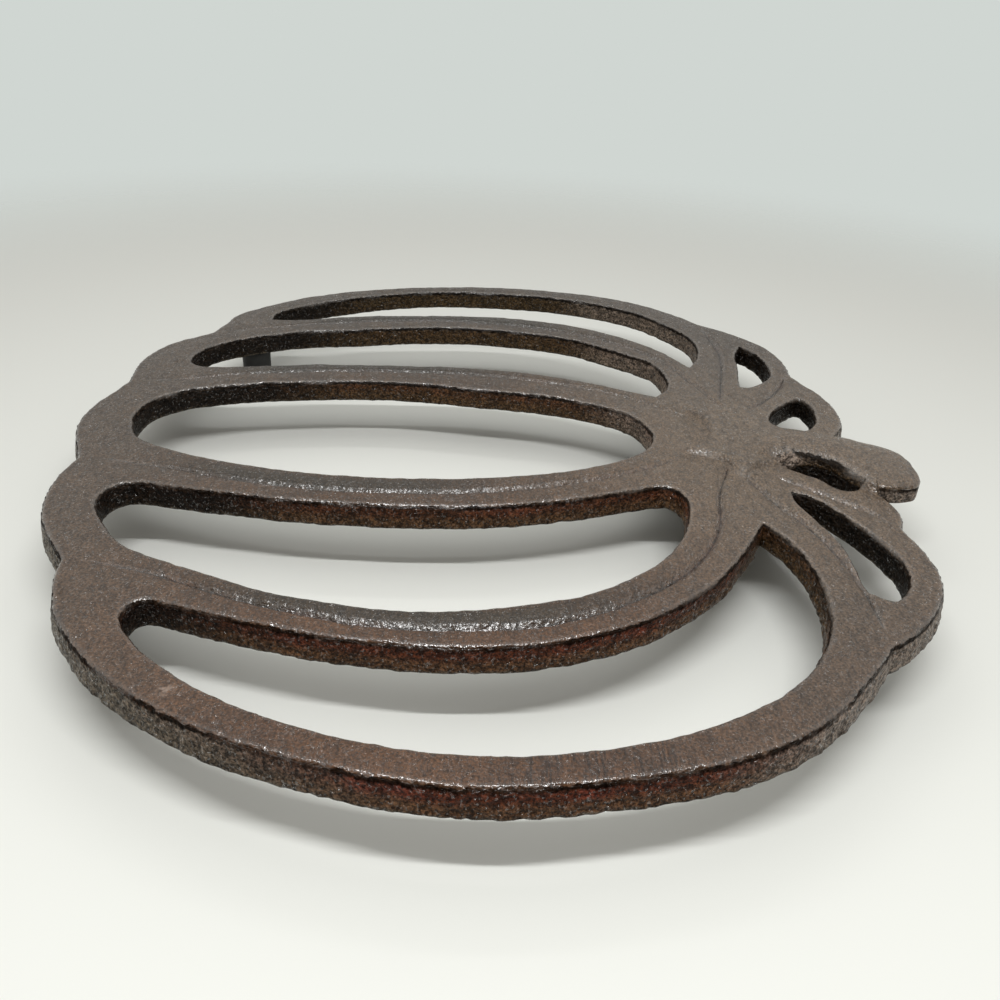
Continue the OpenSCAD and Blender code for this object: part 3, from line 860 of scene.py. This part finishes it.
# %% Patterns of the iron's skin
iron, t = new_material("brown_lacquered_cast_iron")
where = add(t, "ShaderNodeTexCoord").outputs["Object"]
place = add(t, "ShaderNodeSeparateXYZ", {"Vector": where})
x_at, y_at = place.outputs["X"], place.outputs["Y"]
depth, seam_at, rim_at, beyond_seam_at, shade_and_sheen_at = (
    add(t, "ShaderNodeAttribute", attribute_name=name).outputs["Fac"]
    for name in ("wall", "seam", "rim", "beyond_seam", "shade_and_sheen"))
grain = speckle(where, 2500.0, 2.0, 0.6)
sand = add(t, "ShaderNodeTexVoronoi", {"Vector": where, "Scale": 1300.0}).outputs["Distance"]
lump = speckle(stretched((1.0, 1.0, 1.7)), 820.0, 2.5, 0.55)
blotch = speckle(where, 95.0, 5.0, 0.62)
speck = speckle(where, 1900.0, 1.0)
# the lacquer was wiped on, which left faint streaks
streak = speckle(stretched((0.55, 1.0, 0.8), (0.0, 0.0, 0.6)), 850.0, 3.0)
# brush strokes across the near rim, where the lacquer was touched up
stroke = speckle(stretched((0.08, 1.0, 0.3)), 2300.0, 2.0)
brushed = times(between(y_at, -0.006, 0.004), between(y_at, 0.034, 0.022),
                between(x_at, 0.084, 0.09), between(depth, 0.12, 0.04))
on_wall = between(depth, 0.08, 0.2)
print("nodes", len(t.nodes))

# %% Colour of the top
# the near tops are painted warmer and the far tops more olive, partly standing in for the warmer
# light from the front
near_tint_and_warm_light = between(x_at, -0.08, 0.09)
far_tone = ramp(blotch, (0.3, "#392d1f"), (0.52, "#443625"), (0.72, "#4f3f2b"))
near_tone = ramp(blotch, (0.3, "#462f1e"), (0.52, "#543822"), (0.72, "#604129"))
top_tone = blend(near_tint_and_warm_light, far_tone, near_tone)
aside = sum_of("MAXIMUM", between(y_at, -0.03, -0.075), between(y_at, 0.015, 0.05))
top_tone = blend(times(aside, 0.6), top_tone, colour("#564c41"))
# the raised middle is painted lighter, standing in for its sheen, and the top on the far side of
# each long seam is painted darker
hub_sheen_gap = gap_to((0.008, 0.062, 0.016))
top_tone = blend(between(hub_sheen_gap, 0.07, 0.02, 0.0, 0.42), top_tone, colour("#806e5a"))
top_tone = blend(times(beyond_seam_at, 0.85), top_tone, colour("#2e271b"))
print("nodes", len(t.nodes))

# %% Colour of the walls
red_wall = ramp(blotch, (0.3, "#3f2113"), (0.5, "#51291a"), (0.62, "#5f2a1d"), (0.76, "#553422"))
brown_wall = ramp(blotch, (0.3, "#4a3322"), (0.7, "#614530"))
red_wall = blend(between(depth, 0.38, 0.66), red_wall, brown_wall)
dull_wall = ramp(blotch, (0.3, "#392e1e"), (0.7, "#524029"))
# the near walls are painted red, partly standing in for warm light from the front
red_and_warm_light_share = times(near_tint_and_warm_light, between(y_at, -0.088, -0.03, 0.15, 1.0),
                  between(y_at, 0.065, 0.03, 0.1, 1.0))
# painted shade: the walls of the small eyes and the front slot ends turn near black
shaded = between(shade_and_sheen_at, 0.0, 1.0, 0.0, 0.88)
wall_paint = blend(shaded, blend(red_and_warm_light_share, dull_wall, red_wall), colour("#0e0a08"))
# painted sheen: walls marked below 0 are painted paler, standing in for the light they reflect
pale = between(shade_and_sheen_at, 0.0, -1.0)
pale_tone = blend(between(y_at, -0.01, 0.02), colour("#645d52"), colour("#82756a"))
paint = blend(on_wall, top_tone, blend(pale, wall_paint, pale_tone))
print("nodes", len(t.nodes))

# %% Painted shade lines, painted floor reflection, rust and grain
ragged = sum_of("MULTIPLY_ADD", lump, 0.16, sum_of("SUBTRACT", depth, 0.08))
# painted reflection: the lowest band of each wall turns grey, standing in for the pale floor it
# reflects
paint = blend(between(ragged, 0.84, 0.95), paint, colour("#4b443a"))
# painted shade: a broken black line just below each upper edge, where the rounded edge would
# reflect the dim room
painted_dark_band = times(between(ragged, 0.045, 0.075), between(ragged, 0.25, 0.16),
               between(blotch, 0.36, 0.52, 0.45, 1.0), between(pale, 0.8, 0.95, 1.0, 0.05))
paint = blend(times(painted_dark_band, 0.9), paint, colour("#0b0705"))
# painted shade: a dark line along the bottom of each seam
paint = blend(between(seam_at, 0.72, 0.95, 0.0, 0.8), paint, colour("#120c08"))
rusty = times(seam_at, between(blotch, 0.46, 0.62))
paint = blend(times(rusty, 0.2), paint, colour("#5c2a1b"))
paint = blend(1.0, paint, ramp(grain, (0.36, 0.4), (0.52, 1.0), (0.64, 1.4)), "MULTIPLY")
paint = blend(1.0, paint, ramp(streak, (0.36, 0.7), (0.5, 1.0), (0.62, 1.12)), "MULTIPLY")
pits = sum_of("MULTIPLY_ADD", sum_of("SUBTRACT", grain, 0.5), 0.5, lump)
pitted = ramp(pits, (0.38, 0.5), (0.5, 0.97), (0.62, 1.4))
paint = blend(on_wall, paint, blend(1.0, paint, pitted, "MULTIPLY"))
print("nodes", len(t.nodes))

# %% Brush lines and pale scuffs
lines = times(brushed, between(stroke, 0.46, 0.38))
paint = blend(times(lines, 0.7), paint, colour("#1d120c"))
# pale scuffs, where something harder rubbed along an edge: place and reach in millimetres
SCUFFS = [(76.0, -21.2, 15.3, 1.5), (78.2, -17.4, 14.6, 1.2), (77.8, 5.1, 15.2, 1.0),
          (87.9, -39.7, 15.7, 1.6)]
scuffed = 0.0
for x, y, z, reach in SCUFFS:
    gap = gap_to(((x - MIDDLE[0]) * MM, (y - MIDDLE[1]) * MM, z * MM))
    scuffed = sum_of("MAXIMUM", scuffed, between(gap, reach * MM, reach * MM * 0.2))
scuffed = times(scuffed, between(lump, 0.4, 0.56))
paint = blend(times(scuffed, 0.7), paint, colour("#9a887b"))
print("nodes", len(t.nodes))

# %% Relief of the iron's skin
height = times(lump, between(depth, 0.08, 0.25, 0.2, 1.0))
lump_bump = bumped(height, 1.0, 0.001)
streak_bump = bumped(streak, between(rim_at, 0.3, 1.0, 1.0, 0.3), 0.00035, lump_bump)
sand_bump = bumped(sand, 0.8, 0.0001, streak_bump)
fine_bump = bumped(grain, between(rim_at, 0.0, 1.0, 1.0, 0.5), 0.00016, sand_bump)
stroke_bump = bumped(stroke, brushed, 0.0002, fine_bump)
# single grains of sand stand out of the lacquer and catch the lamp
grains = bumped(between(speck, 0.54, 0.68), between(rim_at, 0.0, 1.0, 1.0, 0.3), 0.00024, sand_bump)
print("nodes", len(t.nodes))

# %% Brown lacquered sand-cast iron
# the clear lacquer is thickest on edges and seams, thin on the open faces, and in drops on walls
top_gloss = sum_of("MAXIMUM", sum_of("MAXIMUM", between(seam_at, 0.05, 0.3), rim_at),
                   between(speck, 0.54, 0.6, 0.22, 1.0))
wall_gloss = between(speck, 0.6, 0.66, 0.02, 1.0)
coat = add(t, "ShaderNodeMix", {0: on_wall, 2: top_gloss, 3: wall_gloss}).outputs[0]
# the painted dark band also loses its gloss, so it stays black
matt = between(painted_dark_band, 0.3, 0.9, 1.0, 0.08)
surface = add(t, "ShaderNodeBsdfPrincipled", {
    "Base Color": paint,
    "Roughness": between(lump, 0.35, 0.65, 0.45, 0.25),
    "Specular IOR Level": times(matt, between(on_wall, 0.0, 1.0, 0.42, 0.08)),
    "Coat Weight": times(coat, matt),
    "Coat Roughness": between(rim_at, 0.0, 1.0, 0.18, 0.12),
    "Coat IOR": 1.8,
    "Normal": stroke_bump,
    "Coat Normal": grains})
add(t, "ShaderNodeOutputMaterial", {"Surface": surface.outputs["BSDF"]})
casting.data.materials.append(iron)
print("iron nodes", len(t.nodes))

# %% [markdown]
# ## Black rubber
# The caps are moulded rubber, nearly black and dull, with dust in the pores. A plain dark shader
# would look like a hole in the picture, so a little noise breaks the tone and the surface.

# %% Black rubber
rubber, t = new_material("black_moulded_rubber")
where = add(t, "ShaderNodeTexCoord").outputs["Object"]
dusty = ramp(speckle(where, 260.0, 4.0), (0.35, "#0b0b0b"), (0.7, "#161615"))
surface = add(t, "ShaderNodeBsdfPrincipled", {
    "Base Color": dusty, "Roughness": 0.62,
    "Normal": bumped(speckle(where, 1500.0, 2.0), 0.25, 0.0001)})
add(t, "ShaderNodeOutputMaterial", {"Surface": surface.outputs["BSDF"]})
print("rubber nodes", len(t.nodes))

# %% [markdown]
# ## Rubber caps
# All four caps come from one mould, so one cap is spun and Geometry Nodes set a copy at each peg,
# each turned by a different amount as a hand leaves them. Copying by hand would give the same
# form, but here a change to the master cap reaches all four.

# %% Spin the master cap
CAP_TOP_R, CAP_FOOT_R, BORE_R, BORE_FLOOR = 3.8, 3.6, 2.4, 2.0
cap_profile = [(0, 0), (2.6, 0), (3.0, 0.03), (3.3, 0.16), (3.5, 0.38), (CAP_FOOT_R, 0.66),
               (3.66, 3.0), (3.72, 6.0), (3.76, 8.9), (CAP_TOP_R, 9.3), (CAP_TOP_R, 10.2),
               (3.7, 10.42), (3.5, FOOT_H), (2.6, FOOT_H), (BORE_R, 10.3), (BORE_R, BORE_FLOOR),
               (0, BORE_FLOOR)]
cap_pts, cap_faces = spun(cap_profile, 64)
master_cap = mesh_piece("master_cap", cap_pts, cap_faces, rubber)
master_cap.data.set_sharp_from_angle(angle=math.radians(50))
spots = bpy.data.meshes.new("cap_spots")
spots.from_pydata([(foot[0] * MM, foot[1] * MM, 0) for foot in feet], [], [])
caps = bpy.data.objects.new("rubber_caps", spots)
bpy.context.scene.collection.objects.link(caps)
print("one cap", len(cap_faces), "triangles")

# %% Nodes that set a cap at each peg
tree = bpy.data.node_groups.new("caps_on_pegs", "GeometryNodeTree")
tree.interface.new_socket("Geometry", in_out="INPUT", socket_type="NodeSocketGeometry")
master_in = tree.interface.new_socket("Master Cap", in_out="INPUT", socket_type="NodeSocketObject")
seed_in = tree.interface.new_socket("Turn Seed", in_out="INPUT", socket_type="NodeSocketInt")
tree.interface.new_socket("Geometry", in_out="OUTPUT", socket_type="NodeSocketGeometry")
ins = add(tree, "NodeGroupInput")
info = add(tree, "GeometryNodeObjectInfo", {"Object": ins.outputs["Master Cap"]})
turn_by = add(tree, "FunctionNodeRandomValue", {"Seed": ins.outputs["Turn Seed"]},
              data_type="FLOAT_VECTOR")
turn_by.inputs[0].default_value = (0, 0, 0)
turn_by.inputs[1].default_value = (0, 0, 6.28)
put = add(tree, "GeometryNodeInstanceOnPoints", {"Points": ins.outputs["Geometry"],
                                                 "Instance": info.outputs["Geometry"],
                                                 "Rotation": turn_by.outputs[0]})
real = add(tree, "GeometryNodeRealizeInstances", {"Geometry": put.outputs["Instances"]})
paint_it = add(tree, "GeometryNodeSetMaterial", {"Geometry": real.outputs["Geometry"],
                                                 "Material": rubber})
add(tree, "NodeGroupOutput", {"Geometry": paint_it.outputs["Geometry"]})
modifier = caps.modifiers.new("caps_on_pegs", "NODES")
modifier.node_group = tree
modifier[master_in.identifier] = master_cap
modifier[seed_in.identifier] = 4
print("cap nodes", len(tree.nodes))

# %% Turn the caps into a plain mesh
bpy.context.view_layer.update()
graph = bpy.context.evaluated_depsgraph_get()
cap_mesh = bpy.data.meshes.new_from_object(caps.evaluated_get(graph))
caps.modifiers.clear()
caps.data = cap_mesh
bpy.data.meshes.remove(spots)
bpy.data.objects.remove(master_cap)
print("caps", len(caps.data.polygons), "faces")

# %% [markdown]
# ## Joining the frame
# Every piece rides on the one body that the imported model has, and stands for the CAD nodes that
# it replaces.

# %% Tie pieces to the frame
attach(casting, "root")
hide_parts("casting")
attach(caps, "root")
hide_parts("cap_front_far", "cap_front_near", "cap_back_far", "cap_back_near")
print("pieces", casting.name, caps.name)

# %% [markdown]
# ## Floor, light and camera
# The trivet stands on a plain pale floor. Two long narrow lamps hang above it, as in a small
# light tent, and a soft white surround fills the shadows. One large lamp would be simpler, but
# only narrow strips leave the thin bright lines that the edges show. The camera stands where the
# photograph was taken: near the table, looking down at about thirty degrees.

# %% Floor
FLOOR_HALF = 4000
stage_mat, t = new_material("plain_pale_floor")
surface = add(t, "ShaderNodeBsdfPrincipled", {"Base Color": colour("#e9ebe6"), "Roughness": 0.85})
# far from the trivet the floor runs out softly into the plain backdrop
floor_at = add(t, "ShaderNodeTexCoord").outputs["Object"]
far_off = add(t, "ShaderNodeVectorMath", {0: floor_at}, operation="LENGTH").outputs["Value"]
fade = add(t, "ShaderNodeMapRange", {"Value": far_off, "From Min": 0.19, "From Max": 0.42},
           interpolation_type="SMOOTHSTEP")
clear = add(t, "ShaderNodeBsdfTransparent")
both = add(t, "ShaderNodeMixShader", {0: fade.outputs["Result"], 1: surface.outputs["BSDF"],
                                      2: clear.outputs["BSDF"]})
add(t, "ShaderNodeOutputMaterial", {"Surface": both.outputs[0]})
corners = [(x * FLOOR_HALF, y * FLOOR_HALF, 0) for x, y in ((-1, -1), (1, -1), (1, 1), (-1, 1))]
floor = mesh_piece("floor", corners, [(0, 1, 2, 3)], stage_mat)
print("floor", 2 * FLOOR_HALF * MM, "m wide")

# %% The white tent round the trivet
world = bpy.data.worlds.new("tent")
bpy.context.scene.world = world
world.use_nodes = True
t = world.node_tree
t.nodes.clear()
seen = add(t, "ShaderNodeLightPath").outputs["Is Camera Ray"]
# the tent is white above, behind and at both sides, and open towards the camera, where the room
# is dim
facing = add(t, "ShaderNodeTexCoord").outputs["Generated"]
look_at = add(t, "ShaderNodeSeparateXYZ", {"Vector": facing})
dim = times(between(look_at.outputs["X"], 0.2, 0.6), between(look_at.outputs["Z"], 0.78, 0.55))
white = between(look_at.outputs["Z"], 0.15, 0.85, 0.45, 0.78)
glow = add(t, "ShaderNodeMix", {0: dim, 2: white, 3: 0.03})
room_tone = blend(dim, colour("#fbfaf6"), colour("#c08a68"))
fill = add(t, "ShaderNodeBackground", {"Color": room_tone, "Strength": glow.outputs[0]})
back = add(t, "ShaderNodeBackground", {"Color": colour("#d0d6d2")})
both = add(t, "ShaderNodeMixShader", {0: seen, 1: fill.outputs[0], 2: back.outputs[0]})
add(t, "ShaderNodeOutputWorld", {"Surface": both.outputs[0]})
print("tent nodes", len(t.nodes))


# %% Light
def strip(name, x, z, length, width, watts):
    """A long narrow lamp above the trivet."""
    lamp = bpy.data.lights.new(name, "AREA")
    lamp.shape = "RECTANGLE"
    lamp.size, lamp.size_y = width * MM, length * MM
    lamp.energy = watts
    obj = bpy.data.objects.new(name, lamp)
    obj.location = (x * MM, 0, z * MM)
    bpy.context.scene.collection.objects.link(obj)
    return obj


lamps = [strip("front_strip", 152, 290, 240, 12, 0.56),
         strip("back_strip", -110, 290, 240, 12, 0.08)]
print("lamps", [lamp.name for lamp in lamps])

# %% Camera
FOCAL, SENSOR = 925.0, 36           # focal length per 1000 of the picture's width, sensor in mm
PITCH, ROLL, YAW = math.radians(29.5032), math.radians(-2.868), math.radians(2.5388)
level_look = np.array([-math.cos(YAW), math.sin(YAW), 0])
right = np.array([math.sin(YAW), math.cos(YAW), 0])
look = level_look * math.cos(PITCH) - np.array([0, 0, math.sin(PITCH)])
down = np.cross(look, right)
right, down = (right * math.cos(ROLL) + down * math.sin(ROLL),
               down * math.cos(ROLL) - right * math.sin(ROLL))
eye = (184.8 - MIDDLE[0], 0 - MIDDLE[1], 85.85 + TOP_Z)
camera = bpy.data.objects.new("camera", bpy.data.cameras.new("camera"))
camera.data.sensor_width = SENSOR
camera.data.lens = SENSOR * FOCAL / 1000
camera.data.clip_start = 0.005
camera.matrix_world = Matrix([[right[k], -down[k], -look[k], eye[k] * MM] for k in range(3)]
                             + [[0, 0, 0, 1]])
bpy.context.scene.collection.objects.link(camera)
bpy.context.scene.camera = camera
bpy.context.scene.view_settings.view_transform = "Standard"
print("camera at", [round(v, 1) for v in eye])
